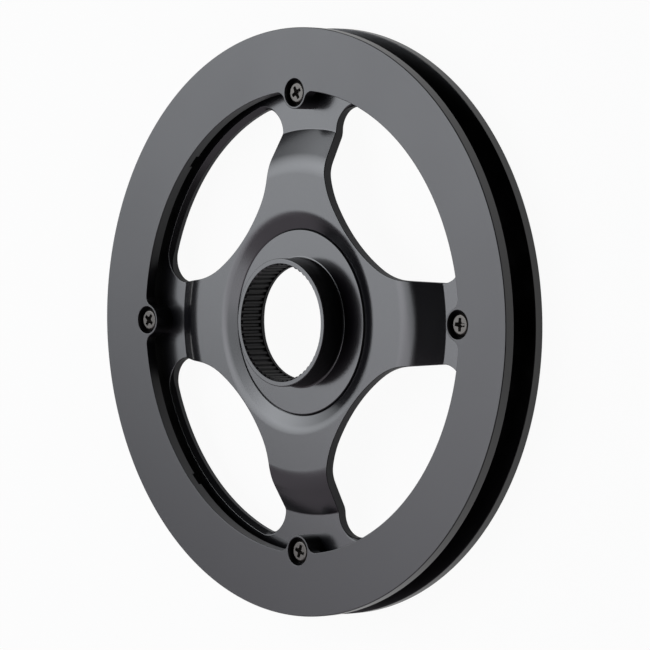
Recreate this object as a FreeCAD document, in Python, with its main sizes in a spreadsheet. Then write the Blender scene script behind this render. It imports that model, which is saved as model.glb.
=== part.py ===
import FreeCAD, Part
import math
import operator
import os

import Sketcher

# Bicycle chainring with a guard on each side, lying on its outer guard.
# The axis is Z, Z = 0 is the outer face of the outer guard, and the splined boss points up.
# Lengths are millimetres and angles are degrees.

DIMENSIONS = (
    ("arms", 4, "arms of the plate, each with one guard screw"),
    ("teeth", 38, "chain teeth"),
    ("splines", 55, "grooves of the hub's bore"),
    ("chain_pitch", 12.7, "distance between two chain rollers"),
    ("seat_radius", 3.97, "radius of a roller's seat between two teeth"),
    ("tip_height", 3.3, "tooth tip above the pitch circle"),
    ("flank_angle", 17.0, "slant of a tooth's flank from the radius"),
    ("tooth_thick", 2.0, "thickness of a tooth at its root"),
    ("tip_thick", 1.0, "thickness of a tooth at its tip"),
    ("tip_bevel", 2.6, "radial length of the bevel at a tooth's tip"),
    ("root_bevel", 0.8, "radial length of the step from plate to tooth"),
    ("plate_thick", 2.8, "thickness of the pressed plate"),
    ("ring_depth", 11.3, "depth of the toothed ring inside its pitch circle"),
    ("ring_edge", 1.4, "bevel on the ring's inside edge"),
    ("seat_length", 9.0, "length of the arms' flat ends inside the ring"),
    ("slope_length", 9.9, "radial length of the arms' slope"),
    ("arm_rise", 5.85, "height of the level arms over the ring"),
    ("inner_bend", 12.0, "outside radius of the bend above the slope"),
    ("crown_radius", 31.7, "radius of the rim of the dish round the hub"),
    ("crown_bend", 7.0, "rounding of that rim"),
    ("dish_angle", 22.5, "slope of the dish that seats the hub"),
    ("hub_hole", 23.5, "radius of the plate's centre hole"),
    ("arm_waist", 11.45, "half width of an arm at the outer bend"),
    ("arm_taper", 3.8, "slant of an arm's edge"),
    ("arm_fillet", 7.0, "fillet between an arm and the ring"),
    ("window_fillet", 24.0, "fillet between an arm and the hub zone"),
    ("window_apex", 33.35, "least distance of a window from the axis"),
    ("window_curve", 52.0, "radius of a window's side at the hub"),
    ("guard_reach", 5.9, "reach of both guards past the tooth tips"),
    ("guard_edge", 0.2, "bevel on the guards' outer edges"),
    ("inner_setback", 2.0, "step from the ring's bore out to the inner guard's"),
    ("inner_guard_thick", 3.2, "thickness of the inner guard"),
    ("outer_setback", 6.9, "step from the ring's bore out to the outer guard's"),
    ("outer_guard_thick", 2.9, "thickness of the outer guard"),
    ("inner_boss", 2.8, "length of the inner guard's bosses"),
    ("outer_boss", 3.1, "length of the outer guard's bosses"),
    ("sink_wall", 0.7, "wall of the bosses and tabs round a screw's sink"),
    ("inner_tab_fillet", 3.0, "fillet between a tab and the inner guard"),
    ("outer_tab_fillet", 4.0, "fillet between a tab and the outer guard"),
    ("notch_width", 4.3, "width of the notches behind the inner guard"),
    ("notch_depth", 0.9, "depth of those notches"),
    ("notch_reach", 2.5, "radial length of those notches"),
    ("pocket_width", 5.0, "width of the pockets in the outer guard"),
    ("pocket_inset", 1.8, "distance of those pockets from the guard's edge"),
    ("pocket_length", 8.2, "radial length of those pockets"),
    ("pocket_depth", 1.2, "depth of those pockets"),
    ("screw_inset", 1.5, "distance of the guard screws outside the ring's bore"),
    ("head_radius", 3.5, "radius of a screw's head"),
    ("head_height", 2.1, "height of a screw's head"),
    ("head_bevel", 0.8, "bevel of a screw's head"),
    ("head_sink", 0.9, "depth of a screw's head below the guard's face"),
    ("sink_room", 0.6, "radial room round a screw's head in its sink"),
    ("cross_span", 3.9, "span of the cross recess"),
    ("cross_width", 1.2, "width of the cross recess"),
    ("cross_depth", 1.2, "depth of the cross recess"),
    ("shank_radius", 1.9, "radius of a screw's shank"),
    ("hole_floor", 0.9, "thickness left under a screw's blind hole"),
    ("screw_clearance", 0.25, "radial room round a screw in guard and plate"),
    ("thread_clearance", 0.03, "radial room round a screw in the outer guard"),
    ("hole_spare", 0.5, "room past a screw's end in its blind hole"),
    ("hub_clearance", 0.03, "radial room between hub and plate"),
    ("flange_radius", 27.05, "radius of the hub's flange"),
    ("flange_top", 0.476, "height of the flange's face over the edge of its seat"),
    ("boss_wall", 1.39, "wall of the hub's boss round its splines"),
    ("boss_height", 7.7, "height of the hub's boss over the flange"),
    ("boss_edge", 0.3, "bevel on the boss"),
    ("boss_root", 0.6, "bevel at the foot of the boss"),
    ("spline_minor", 16.8, "radius to the tips of the splines"),
    ("spline_depth", 0.52, "depth of the splines"),
    ("spline_land", 0.62, "width of a groove at its floor"),
    ("spline_mouth", 1.25, "width of a groove at its mouth"),
    ("lip_stand", 0.2, "stand of the plain lip inside the splines"),
    ("lip_length", 1.0, "length of the plain lip"),
    ("lip_drop", 0.9, "depth of the lip's outer end below the flange's face"),
    ("relief_radius", 21.6, "radius of the lockring's relief at the outer face"),
    ("stake_reach", 1.3, "overhang of the staked collar past the hole"),
    ("stake_stand", 0.6, "stand of the staked collar below the plate's hole"),
)

OPERATORS = {"+": operator.add, "-": operator.sub, "*": operator.mul, "/": operator.truediv}
UP = FreeCAD.Vector(0, 0, 1)
OVERCUT = 2.0
SNUG = 1e-7


class Size:
    """A number worked out from the sheet, with the expression that binds it there."""

    def __init__(self, text, value):
        self.text = text
        self.value = value

    def __add__(self, other):
        return combine(self, "+", other)

    def __sub__(self, other):
        return combine(self, "-", other)

    def __mul__(self, other):
        return combine(self, "*", other)

    def __truediv__(self, other):
        return combine(self, "/", other)

    def __neg__(self):
        return combine(0, "-", self)


def as_size(item):
    return item if isinstance(item, Size) else Size(f"{item}", float(item))


def combine(left, sign, right):
    left = as_size(left)
    right = as_size(right)
    return Size(f"({left.text} {sign} {right.text})", OPERATORS[sign](left.value, right.value))


def sine(angle):
    return Size(f"sin({angle.text})", math.sin(math.radians(angle.value)))


def cosine(angle):
    return Size(f"cos({angle.text})", math.cos(math.radians(angle.value)))


def tangent(angle):
    return Size(f"tan({angle.text})", math.tan(math.radians(angle.value)))


def arc_cosine(ratio):
    return Size(f"(acos({ratio.text}) / 1 deg)", math.degrees(math.acos(ratio.value)))


def arc_tangent(ratio):
    return Size(f"(atan({ratio.text}) / 1 deg)", math.degrees(math.atan(ratio.value)))


class Sizes:
    """The sheet's cells, each as a Size under its alias."""


def fill_sheet(doc):
    sheet = doc.addObject("Spreadsheet::Sheet", "dims")
    sizes = Sizes()
    for row, (alias, value, note) in enumerate(DIMENSIONS, start=1):
        sheet.set(f"A{row}", alias)
        sheet.set(f"B{row}", f"{value}")
        sheet.setAlias(f"B{row}", alias)
        sheet.set(f"C{row}", note)
        setattr(sizes, alias, Size(f"dims.{alias}", float(value)))
    return sizes


doc = FreeCAD.newDocument("chainring")
d = fill_sheet(doc)
doc.recompute()

# Heights that several pieces share, from the resting face up

outer_guard_in = d.outer_guard_thick
ring_low = outer_guard_in + d.outer_boss
ring_top = ring_low + d.plate_thick
inner_guard_in = ring_top + d.inner_boss
inner_guard_top = inner_guard_in + d.inner_guard_thick
arm_top = ring_top + d.arm_rise
head_floor = inner_guard_top - d.head_sink - d.head_height
screw_end = d.hole_floor + d.hole_spare

# Radii and angles that several pieces share

half_arm = combine(180, "/", d.arms)
pitch_radius = d.chain_pitch / (sine(combine(180, "/", d.teeth)) * 2)
tip_radius = pitch_radius + d.tip_height
ring_bore = pitch_radius - d.ring_depth
outer_crease = ring_bore - d.seat_length
inner_crease = outer_crease - d.slope_length
screw_circle = ring_bore + d.screw_inset
sink_radius = d.head_radius + d.sink_room
boss_radius = sink_radius + d.sink_wall
boss_limit = screw_circle + boss_radius
guard_radius = tip_radius + d.guard_reach
inner_guard_bore = ring_bore + d.inner_setback
outer_guard_bore = ring_bore + d.outer_setback
shank_room = d.shank_radius + d.screw_clearance

# The dish that seats the hub

dish_slope = tangent(d.dish_angle)
hole_top = arm_top - (d.crown_radius - d.hub_hole) * dish_slope
hole_low = hole_top - d.plate_thick / cosine(d.dish_angle)
seat_edge = arm_top - (d.crown_radius - d.flange_radius) * dish_slope
flange_face = seat_edge + d.flange_top
boss_front = flange_face + d.boss_height
spline_floor = d.spline_minor + d.spline_depth
boss_out = spline_floor + d.boss_wall
lip_radius = d.spline_minor - d.lip_stand


# Sketch helpers

def flat(x, y):
    return FreeCAD.Vector(x, y, 0)


def bind(sketch, size, kind, *parts):
    """Adds one dimension to a sketch and ties it to the sheet."""
    value = math.radians(size.value) if kind == "Angle" else size.value
    index = sketch.addConstraint(Sketcher.Constraint(kind, *parts, value))
    sketch.setExpression(f"Constraints[{index}]", size.text)


def place_point(sketch, geometry, end, x, y):
    """Fixes one end of a line or a point by its two coordinates."""
    for kind, axis, size in (("DistanceX", -2, as_size(x)), ("DistanceY", -1, as_size(y))):
        if abs(size.value) < SNUG:
            sketch.addConstraint(Sketcher.Constraint("PointOnObject", geometry, end, axis))
        elif size.value > 0:
            bind(sketch, size, kind, -1, 1, geometry, end)
        else:
            bind(sketch, -size, kind, geometry, end, -1, 1)


def arc_through(centre, radius, start, end):
    """An arc that runs anticlockwise from one point to another."""
    first = math.atan2(start.y - centre.y, start.x - centre.x)
    last = math.atan2(end.y - centre.y, end.x - centre.x)
    if last <= first:
        last += 2 * math.pi
    return Part.ArcOfCircle(Part.Circle(centre, UP, radius), first, last)


def join(sketch, kind, *ends):
    return sketch.addConstraint(Sketcher.Constraint(kind, *ends))


def new_sketch(body, name, role, turn=None, height=None):
    """A sketch on one of the body's own planes, turned about or raised along the part's axis."""
    sketch = body.newObject("Sketcher::SketchObject", name)
    plane = [item for item in body.Origin.OriginFeatures if item.Role == role][0]
    sketch.AttachmentSupport = [(plane, "")]
    sketch.MapMode = "FlatFace"
    spin_axis = UP if role == "XY_Plane" else FreeCAD.Vector(0, 1, 0)
    if turn:
        sketch.AttachmentOffset = FreeCAD.Placement(FreeCAD.Vector(), FreeCAD.Rotation(spin_axis, turn.value))
        sketch.setExpression("AttachmentOffset.Rotation.Angle", turn.text)
    if height:
        sketch.setExpression("AttachmentOffset.Base.z", height.text)
    return sketch


def draw_outline(sketch, corners):
    """A closed outline of straight edges, where a corner's third size rounds it."""
    points = [flat(as_size(corner[0]).value, as_size(corner[1]).value) for corner in corners]
    count = len(corners)
    arrive = list(points)
    leave = list(points)
    rounds = {}
    for i, corner in enumerate(corners):
        if len(corner) < 3:
            continue
        back = (points[i - 1] - points[i]).normalize()
        ahead = (points[(i + 1) % count] - points[i]).normalize()
        half = back.getAngle(ahead) / 2
        radius = corner[2].value
        arrive[i] = points[i] + back * (radius / math.tan(half))
        leave[i] = points[i] + ahead * (radius / math.tan(half))
        rounds[i] = points[i] + (back + ahead).normalize() * (radius / math.sin(half))
    lines = []
    for i in range(count):
        segment = Part.LineSegment(leave[i], arrive[(i + 1) % count])
        lines.append(sketch.addGeometry(segment, False))
    for i, corner in enumerate(corners):
        before = lines[i - 1]
        after = lines[i]
        if i not in rounds:
            join(sketch, "Coincident", before, 2, after, 1)
            place_point(sketch, after, 1, corner[0], corner[1])
            continue
        left_turn = (points[i] - arrive[i]).cross(leave[i] - points[i]).z > 0
        ends = (arrive[i], leave[i]) if left_turn else (leave[i], arrive[i])
        arc = sketch.addGeometry(arc_through(rounds[i], corner[2].value, *ends), False)
        mark = sketch.addGeometry(Part.Point(points[i]), True)
        place_point(sketch, mark, 1, corner[0], corner[1])
        join(sketch, "PointOnObject", mark, 1, before)
        join(sketch, "PointOnObject", mark, 1, after)
        join(sketch, "Tangent", before, 2, arc, 1 if left_turn else 2)
        join(sketch, "Tangent", after, 1, arc, 2 if left_turn else 1)
        bind(sketch, corner[2], "Radius", arc)


def draw_circle(sketch, x, radius):
    circle = sketch.addGeometry(Part.Circle(flat(x.value, 0), UP, radius.value), False)
    place_point(sketch, circle, 3, x, 0)
    bind(sketch, radius, "Radius", circle)


def draw_box(sketch, x_low, x_high, width):
    """A rectangle across the sketch's X axis."""
    half = width / 2
    draw_outline(sketch, [(x_low, -half), (x_high, -half), (x_high, half), (x_low, half)])


# Feature helpers

def new_body(label):
    body = doc.addObject("PartDesign::Body", label)
    body.Label = label
    return body


def revolve(body, sketch):
    feature = body.newObject("PartDesign::Revolution", f"{sketch.Name}_turned")
    feature.Profile = sketch
    feature.ReferenceAxis = (sketch, ["V_Axis"])
    feature.Angle = 360
    doc.recompute()
    return feature


def pad(body, sketch, length):
    """Adds material above the sketch."""
    feature = body.newObject("PartDesign::Pad", f"{sketch.Name}_pad")
    feature.Profile = sketch
    feature.setExpression("Length", length.text)
    doc.recompute()
    return feature


def cut(body, sketch, depth=None, upward=False):
    """Removes material below the sketch, or above it, or on both sides where no depth is given."""
    before = body.Shape.Volume
    feature = body.newObject("PartDesign::Pocket", f"{sketch.Name}_cut")
    feature.Profile = sketch
    if depth:
        feature.setExpression("Length", depth.text)
        feature.Reversed = upward
    else:
        feature.Type = "ThroughAll"
        feature.Midplane = True
    doc.recompute()
    if feature.Shape.Volume >= before:
        raise RuntimeError(f"{feature.Name} removes nothing")
    return feature


def repeat(body, features, count):
    """Repeats features evenly round the part's axis."""
    pattern = body.newObject("PartDesign::PolarPattern", f"{features[0].Name}_round")
    pattern.Originals = features
    pattern.Axis = ([item for item in body.Origin.OriginFeatures if item.Role == "Z_Axis"][0], [""])
    pattern.Angle = 360
    pattern.setExpression("Occurrences", count.text)
    body.Tip = pattern
    doc.recompute()
    return pattern


# Chainring: the pressed plate with teeth, arms and windows

def plate_section():
    """Half section of the plate, from the hub's hole out to the tooth tips and back."""
    thick = d.plate_thick
    rise = arc_tangent(d.arm_rise / d.slope_length)
    bend_shift = thick * tangent(rise / 2)
    crown_shift = thick * tangent(d.dish_angle / 2)
    middle = ring_low + thick / 2
    tooth = d.tooth_thick / 2
    tip = d.tip_thick / 2
    thin_end = boss_limit + d.root_bevel
    bevel_start = tip_radius - d.tip_bevel
    return [
        (d.hub_hole, hole_low),
        (d.crown_radius + crown_shift, arm_top - thick),
        (inner_crease - bend_shift, arm_top - thick, d.inner_bend - thick),
        (outer_crease - bend_shift, ring_low),
        (boss_limit, ring_low),
        (thin_end, middle - tooth),
        (bevel_start, middle - tooth),
        (tip_radius, middle - tip),
        (tip_radius, middle + tip),
        (bevel_start, middle + tooth),
        (thin_end, middle + tooth),
        (boss_limit, ring_top),
        (outer_crease, ring_top),
        (inner_crease, arm_top, d.inner_bend),
        (d.crown_radius, arm_top, d.crown_bend),
        (d.hub_hole, hole_top),
    ]


def tucked_centre(start, along, inward, big_centre, big_radius, radius, outermost):
    """Centre of a fillet between a straight edge and the inside of a large circle."""
    base = start + inward * radius - big_centre
    middle = base.dot(along)
    spread = math.sqrt(middle ** 2 - base.dot(base) + (big_radius - radius) ** 2)
    return start + inward * radius + along * (spread - middle if outermost else -spread - middle)


def draw_window(sketch):
    """A window's outline, with the sketch's X axis midway between two arms."""
    waist_x = outer_crease * cosine(half_arm) + d.arm_waist * sine(half_arm)
    waist_y = outer_crease * sine(half_arm) - d.arm_waist * cosine(half_arm)
    slant = half_arm + d.arm_taper
    hub_side = d.window_apex + d.window_curve
    angle = math.radians(slant.value)
    along = flat(math.cos(angle), math.sin(angle))
    inward = flat(math.sin(angle), -math.cos(angle))
    waist = flat(waist_x.value, waist_y.value)
    origin = flat(0, 0)
    hub_centre = flat(hub_side.value, 0)
    ring = ring_bore.value
    curve = d.window_curve.value
    outer = d.arm_fillet.value
    inner = d.window_fillet.value
    corner = tucked_centre(waist, along, inward, origin, ring, outer, True)
    nook = tucked_centre(waist, along, inward, hub_centre, curve, inner, False)
    ring_touch = corner * (ring / corner.Length)
    arm_end = corner - inward * outer
    arm_start = nook - inward * inner
    hub_touch = hub_centre + (nook - hub_centre) * (curve / (nook - hub_centre).Length)

    def mirrored(point):
        return flat(point.x, -point.y)

    ring_arc, corner_up, line_up, nook_up, hub_arc, nook_down, line_down, corner_down = [
        sketch.addGeometry(item, False)
        for item in (
            arc_through(origin, ring, mirrored(ring_touch), ring_touch),
            arc_through(corner, outer, ring_touch, arm_end),
            Part.LineSegment(arm_start, arm_end),
            arc_through(nook, inner, arm_start, hub_touch),
            arc_through(hub_centre, curve, hub_touch, mirrored(hub_touch)),
            arc_through(mirrored(nook), inner, mirrored(hub_touch), mirrored(arm_start)),
            Part.LineSegment(mirrored(arm_end), mirrored(arm_start)),
            arc_through(mirrored(corner), outer, mirrored(arm_end), mirrored(ring_touch)),
        )
    ]
    for first, first_end, second, second_end in (
        (ring_arc, 2, corner_up, 1),
        (corner_up, 2, line_up, 2),
        (line_up, 1, nook_up, 1),
        (nook_up, 2, hub_arc, 1),
        (hub_arc, 2, nook_down, 1),
        (nook_down, 2, line_down, 2),
        (line_down, 1, corner_down, 1),
        (corner_down, 2, ring_arc, 1),
    ):
        join(sketch, "Tangent", first, first_end, second, second_end)
    join(sketch, "Coincident", ring_arc, 3, -1, 1)
    bind(sketch, ring_bore, "Radius", ring_arc)
    place_point(sketch, hub_arc, 3, hub_side, 0)
    bind(sketch, d.window_curve, "Radius", hub_arc)
    for arc, size in (
        (corner_up, d.arm_fillet),
        (corner_down, d.arm_fillet),
        (nook_up, d.window_fillet),
        (nook_down, d.window_fillet),
    ):
        bind(sketch, size, "Radius", arc)
    for line, side_y, lean in ((line_up, waist_y, slant), (line_down, -waist_y, combine(180, "-", slant))):
        mark = sketch.addGeometry(Part.Point(flat(waist_x.value, side_y.value)), True)
        place_point(sketch, mark, 1, waist_x, side_y)
        join(sketch, "PointOnObject", mark, 1, line)
        bind(sketch, lean, "Angle", line)


def draw_tooth_gap(sketch):
    """The gap between two teeth: a roller's seat and two flanks that open outwards."""
    lean = math.radians(d.flank_angle.value)
    seat = d.seat_radius.value
    centre = flat(pitch_radius.value, 0)
    limit = tip_radius + OVERCUT
    touch = centre + flat(-math.sin(lean), math.cos(lean)) * seat
    outer_y = touch.y + (limit.value - touch.x) * math.tan(lean)
    mouth = flat(limit.value, outer_y)
    low_touch = flat(touch.x, -touch.y)
    low_mouth = flat(mouth.x, -mouth.y)
    arc = sketch.addGeometry(arc_through(centre, seat, touch, low_touch), False)
    flank_up = sketch.addGeometry(Part.LineSegment(touch, mouth), False)
    flank_down = sketch.addGeometry(Part.LineSegment(low_touch, low_mouth), False)
    close = sketch.addGeometry(Part.LineSegment(low_mouth, mouth), False)
    join(sketch, "Tangent", arc, 1, flank_up, 1)
    join(sketch, "Tangent", arc, 2, flank_down, 1)
    join(sketch, "Coincident", flank_up, 2, close, 2)
    join(sketch, "Coincident", flank_down, 2, close, 1)
    join(sketch, "Symmetric", close, 1, close, 2, -1)
    place_point(sketch, arc, 3, pitch_radius, 0)
    bind(sketch, d.seat_radius, "Radius", arc)
    bind(sketch, d.flank_angle, "Angle", flank_up)
    bind(sketch, limit, "DistanceX", -1, 1, close, 2)


def ring_edge_bevel(body):
    """The bevel along the ring's inside edge, between the fillets of one window."""
    sketch = new_sketch(body, "ring_edge", "XZ_Plane", turn=half_arm)
    inside = ring_bore - OVERCUT
    depth = ring_top - d.ring_edge
    corners = [
        (ring_bore, depth),
        (ring_bore + d.ring_edge, ring_top),
        (ring_bore + d.ring_edge, ring_top + OVERCUT),
        (inside, ring_top + OVERCUT),
        (inside, depth),
    ]
    draw_outline(sketch, corners)
    line_offset = outer_crease * sine(d.arm_taper) + d.arm_waist * cosine(d.arm_taper)
    reach = arc_cosine((line_offset + d.arm_fillet) / (ring_bore - d.arm_fillet))
    fillet_end = combine(90, "-", d.arm_taper) - reach
    sector = (half_arm - fillet_end) * 2
    groove = body.newObject("PartDesign::Groove", "ring_edge_cut")
    groove.Profile = sketch
    groove.ReferenceAxis = (sketch, ["V_Axis"])
    groove.Midplane = True
    groove.setExpression("Angle", sector.text)
    doc.recompute()
    return groove


def make_chainring():
    body = new_body("chainring")
    section = new_sketch(body, "plate_section", "XZ_Plane")
    draw_outline(section, plate_section())
    revolve(body, section)
    window = new_sketch(body, "window", "XY_Plane", turn=half_arm)
    draw_window(window)
    window_cut = cut(body, window)
    edge = ring_edge_bevel(body)
    hole = new_sketch(body, "plate_screw_hole", "XY_Plane")
    draw_circle(hole, screw_circle, shank_room)
    hole_cut = cut(body, hole)
    repeat(body, [window_cut, edge, hole_cut], d.arms)
    gap = new_sketch(body, "tooth_gap", "XY_Plane")
    draw_tooth_gap(gap)
    repeat(body, [cut(body, gap)], d.teeth)
    return body


# Splined hub: flange, boss and splined bore, staked into the plate

def hub_section():
    """Half section of the hub, from the lip's outer end round to the front face."""
    fit = d.hub_hole - d.hub_clearance
    seat_low = arm_top - (d.crown_radius - fit) * dish_slope
    stake = d.hub_hole + d.stake_reach
    stake_top = hole_low + d.stake_reach * dish_slope
    grip_low = hole_low - d.hub_clearance * dish_slope
    outer_face = hole_low - d.stake_stand
    lip_end = flange_face - d.lip_drop
    lip_top = lip_end + d.lip_length
    return [
        (lip_radius, lip_end),
        (d.relief_radius, outer_face),
        (stake, outer_face),
        (stake, stake_top),
        (fit, grip_low),
        (fit, seat_low),
        (d.flange_radius, seat_edge),
        (d.flange_radius, flange_face),
        (boss_out + d.boss_root, flange_face),
        (boss_out, flange_face + d.boss_root),
        (boss_out, boss_front - d.boss_edge),
        (boss_out - d.boss_edge, boss_front),
        (d.spline_minor, boss_front),
        (d.spline_minor, lip_top),
        (lip_radius, lip_top),
    ]


def make_hub():
    body = new_body("splined_hub")
    section = new_sketch(body, "hub_section", "XZ_Plane")
    draw_outline(section, hub_section())
    revolve(body, section)
    spline_length = d.boss_height + d.lip_drop - d.lip_length
    groove = new_sketch(body, "spline_groove", "XY_Plane", height=boss_front)
    mouth = d.spline_minor - d.spline_depth
    wide = d.spline_mouth - d.spline_land
    corners = [
        (mouth, -(d.spline_land / 2 + wide)),
        (spline_floor, -(d.spline_land / 2)),
        (spline_floor, d.spline_land / 2),
        (mouth, d.spline_land / 2 + wide),
    ]
    draw_outline(groove, corners)
    repeat(body, [cut(body, groove, spline_length)], d.splines)
    return body


# Guards: flat rings on tabs and bosses at the screws

def ring_section(bore, low, high, bevel_top):
    """Half section of a guard's ring, with a bevel on the edge that faces away from the chain."""
    out = guard_radius
    edge = d.guard_edge
    if bevel_top:
        return [(bore, low), (out, low), (out, high - edge), (out - edge, high), (bore, high)]
    return [(bore, low), (out - edge, low), (out, low + edge), (out, high), (bore, high)]


def draw_tab(sketch, bore, fillet):
    """A round tab at a screw, blended into the inside edge of a guard's ring."""
    boss = flat(screw_circle.value, 0)
    boss_size = boss_radius.value
    blend = fillet.value
    ring = bore.value
    root = bore + OVERCUT
    reach = boss_size + blend
    x = (boss.x ** 2 + (ring - blend) ** 2 - reach ** 2) / (2 * boss.x)
    centre = flat(x, math.sqrt((ring - blend) ** 2 - x ** 2))
    boss_touch = boss + (centre - boss) * (boss_size / reach)
    ring_touch = centre * (ring / (ring - blend))

    def mirrored(point):
        return flat(point.x, -point.y)

    root_up = flat(root.value, ring_touch.y)
    tip, blend_up, blend_down, side_up, side_down, back = [
        sketch.addGeometry(item, False)
        for item in (
            arc_through(boss, boss_size, boss_touch, mirrored(boss_touch)),
            arc_through(centre, blend, boss_touch, ring_touch),
            arc_through(mirrored(centre), blend, mirrored(ring_touch), mirrored(boss_touch)),
            Part.LineSegment(ring_touch, root_up),
            Part.LineSegment(mirrored(ring_touch), mirrored(root_up)),
            Part.LineSegment(mirrored(root_up), root_up),
        )
    ]
    guide = sketch.addGeometry(Part.Circle(flat(0, 0), UP, ring), True)
    join(sketch, "Coincident", guide, 3, -1, 1)
    bind(sketch, bore, "Radius", guide)
    place_point(sketch, tip, 3, screw_circle, 0)
    bind(sketch, boss_radius, "Radius", tip)
    bind(sketch, fillet, "Radius", blend_up)
    bind(sketch, fillet, "Radius", blend_down)
    join(sketch, "Tangent", tip, 1, blend_up, 1)
    join(sketch, "Tangent", tip, 2, blend_down, 2)
    join(sketch, "Tangent", blend_up, 2, guide)
    join(sketch, "Tangent", blend_down, 1, guide)
    join(sketch, "Coincident", blend_up, 2, side_up, 1)
    join(sketch, "Coincident", blend_down, 1, side_down, 1)
    join(sketch, "Coincident", side_up, 2, back, 2)
    join(sketch, "Coincident", side_down, 2, back, 1)
    join(sketch, "Horizontal", side_up)
    join(sketch, "Horizontal", side_down)
    join(sketch, "Vertical", back)
    bind(sketch, root, "DistanceX", -1, 1, back, 2)


def make_inner_guard():
    body = new_body("inner_guard")
    section = new_sketch(body, "inner_ring", "XZ_Plane")
    draw_outline(section, ring_section(inner_guard_bore, inner_guard_in, inner_guard_top, True))
    revolve(body, section)
    tab = new_sketch(body, "inner_tab", "XY_Plane", height=inner_guard_in)
    draw_tab(tab, inner_guard_bore, d.inner_tab_fillet)
    tab_pad = pad(body, tab, d.inner_guard_thick)
    boss = new_sketch(body, "inner_boss_disc", "XY_Plane", height=ring_top)
    draw_circle(boss, screw_circle, boss_radius)
    boss_pad = pad(body, boss, inner_guard_top - ring_top)
    sink = new_sketch(body, "head_sink_disc", "XY_Plane", height=inner_guard_top)
    draw_circle(sink, screw_circle, sink_radius)
    sink_cut = cut(body, sink, d.head_sink + d.head_height)
    hole = new_sketch(body, "guard_screw_hole", "XY_Plane")
    draw_circle(hole, screw_circle, shank_room)
    hole_cut = cut(body, hole)
    notch = new_sketch(body, "back_notch", "XY_Plane", turn=half_arm, height=inner_guard_in)
    draw_box(notch, inner_guard_bore - OVERCUT, inner_guard_bore + d.notch_reach, d.notch_width)
    notch_cut = cut(body, notch, d.notch_depth, upward=True)
    repeat(body, [tab_pad, boss_pad, sink_cut, hole_cut, notch_cut], d.arms)
    return body


def make_outer_guard():
    body = new_body("outer_guard")
    section = new_sketch(body, "outer_ring", "XZ_Plane")
    draw_outline(section, ring_section(outer_guard_bore, as_size(0), outer_guard_in, False))
    revolve(body, section)
    tab = new_sketch(body, "outer_tab", "XY_Plane")
    draw_tab(tab, outer_guard_bore, d.outer_tab_fillet)
    tab_pad = pad(body, tab, outer_guard_in)
    boss = new_sketch(body, "outer_boss_disc", "XY_Plane")
    draw_circle(boss, screw_circle, boss_radius)
    boss_pad = pad(body, boss, ring_low)
    hole = new_sketch(body, "thread_hole", "XY_Plane", height=ring_low)
    draw_circle(hole, screw_circle, d.shank_radius + d.thread_clearance)
    hole_cut = cut(body, hole, ring_low - d.hole_floor)
    pocket = new_sketch(body, "face_pocket", "XY_Plane", height=outer_guard_in)
    pocket_end = guard_radius - d.pocket_inset
    draw_box(pocket, pocket_end - d.pocket_length, pocket_end, d.pocket_width)
    pocket_cut = cut(body, pocket, d.pocket_depth)
    repeat(body, [tab_pad, boss_pad, hole_cut, pocket_cut], d.arms)
    return body


# Guard screws: pan heads with a cross recess

def screw_section():
    """Half section of a screw about its own axis."""
    head_top = head_floor + d.head_height
    return [
        (0, screw_end),
        (d.shank_radius, screw_end),
        (d.shank_radius, head_floor),
        (d.head_radius, head_floor),
        (d.head_radius, head_top - d.head_bevel),
        (d.head_radius - d.head_bevel, head_top),
        (0, head_top),
    ]


def make_screws():
    body = new_body("guard_screws")
    body.AllowCompound = True
    section = new_sketch(body, "screw_section", "XZ_Plane")
    section.setExpression("AttachmentOffset.Base.x", screw_circle.text)
    draw_outline(section, screw_section())
    turned = revolve(body, section)
    cross = new_sketch(body, "cross_recess", "XY_Plane", height=head_floor + d.head_height)
    cross.setExpression("AttachmentOffset.Base.x", screw_circle.text)
    arm = d.cross_span / 2
    half = d.cross_width / 2
    corners = [
        (arm, -half), (arm, half), (half, half), (half, arm), (-half, arm), (-half, half),
        (-arm, half), (-arm, -half), (-half, -half), (-half, -arm), (half, -arm), (half, -half),
    ]
    draw_outline(cross, corners)
    recess = cut(body, cross, d.cross_depth)
    repeat(body, [turned, recess], d.arms)
    return body


def check_document():
    for item in doc.Objects:
        if "Invalid" in item.State or "Error" in item.State:
            raise RuntimeError(f"{item.Name} failed: {item.State}")


def check_shape(body, solids):
    shape = body.Shape
    if shape.isNull() or not shape.isValid():
        raise RuntimeError(f"{body.Label} has no valid shape")
    if len(shape.Solids) != solids:
        raise RuntimeError(f"{body.Label} has {len(shape.Solids)} solids, not {solids}")


bodies = [make_chainring(), make_hub(), make_inner_guard(), make_outer_guard(), make_screws()]
doc.recompute()
check_document()
for body in bodies:
    check_shape(body, int(d.arms.value) if body.Label == "guard_screws" else 1)

os.makedirs("parts", exist_ok=True)
for body in bodies:
    body.Shape.exportStep(f"parts/{body.Label}.step")
    print(f"{body.Label}: {body.Shape.Volume / 1000:.2f} cm3")
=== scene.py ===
import cmath
import math
from bisect import bisect_right
from typing import NamedTuple

import bpy
import numpy as np
from mathutils import Matrix, Quaternion, Vector
from mathutils.geometry import delaunay_2d_cdt


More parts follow.
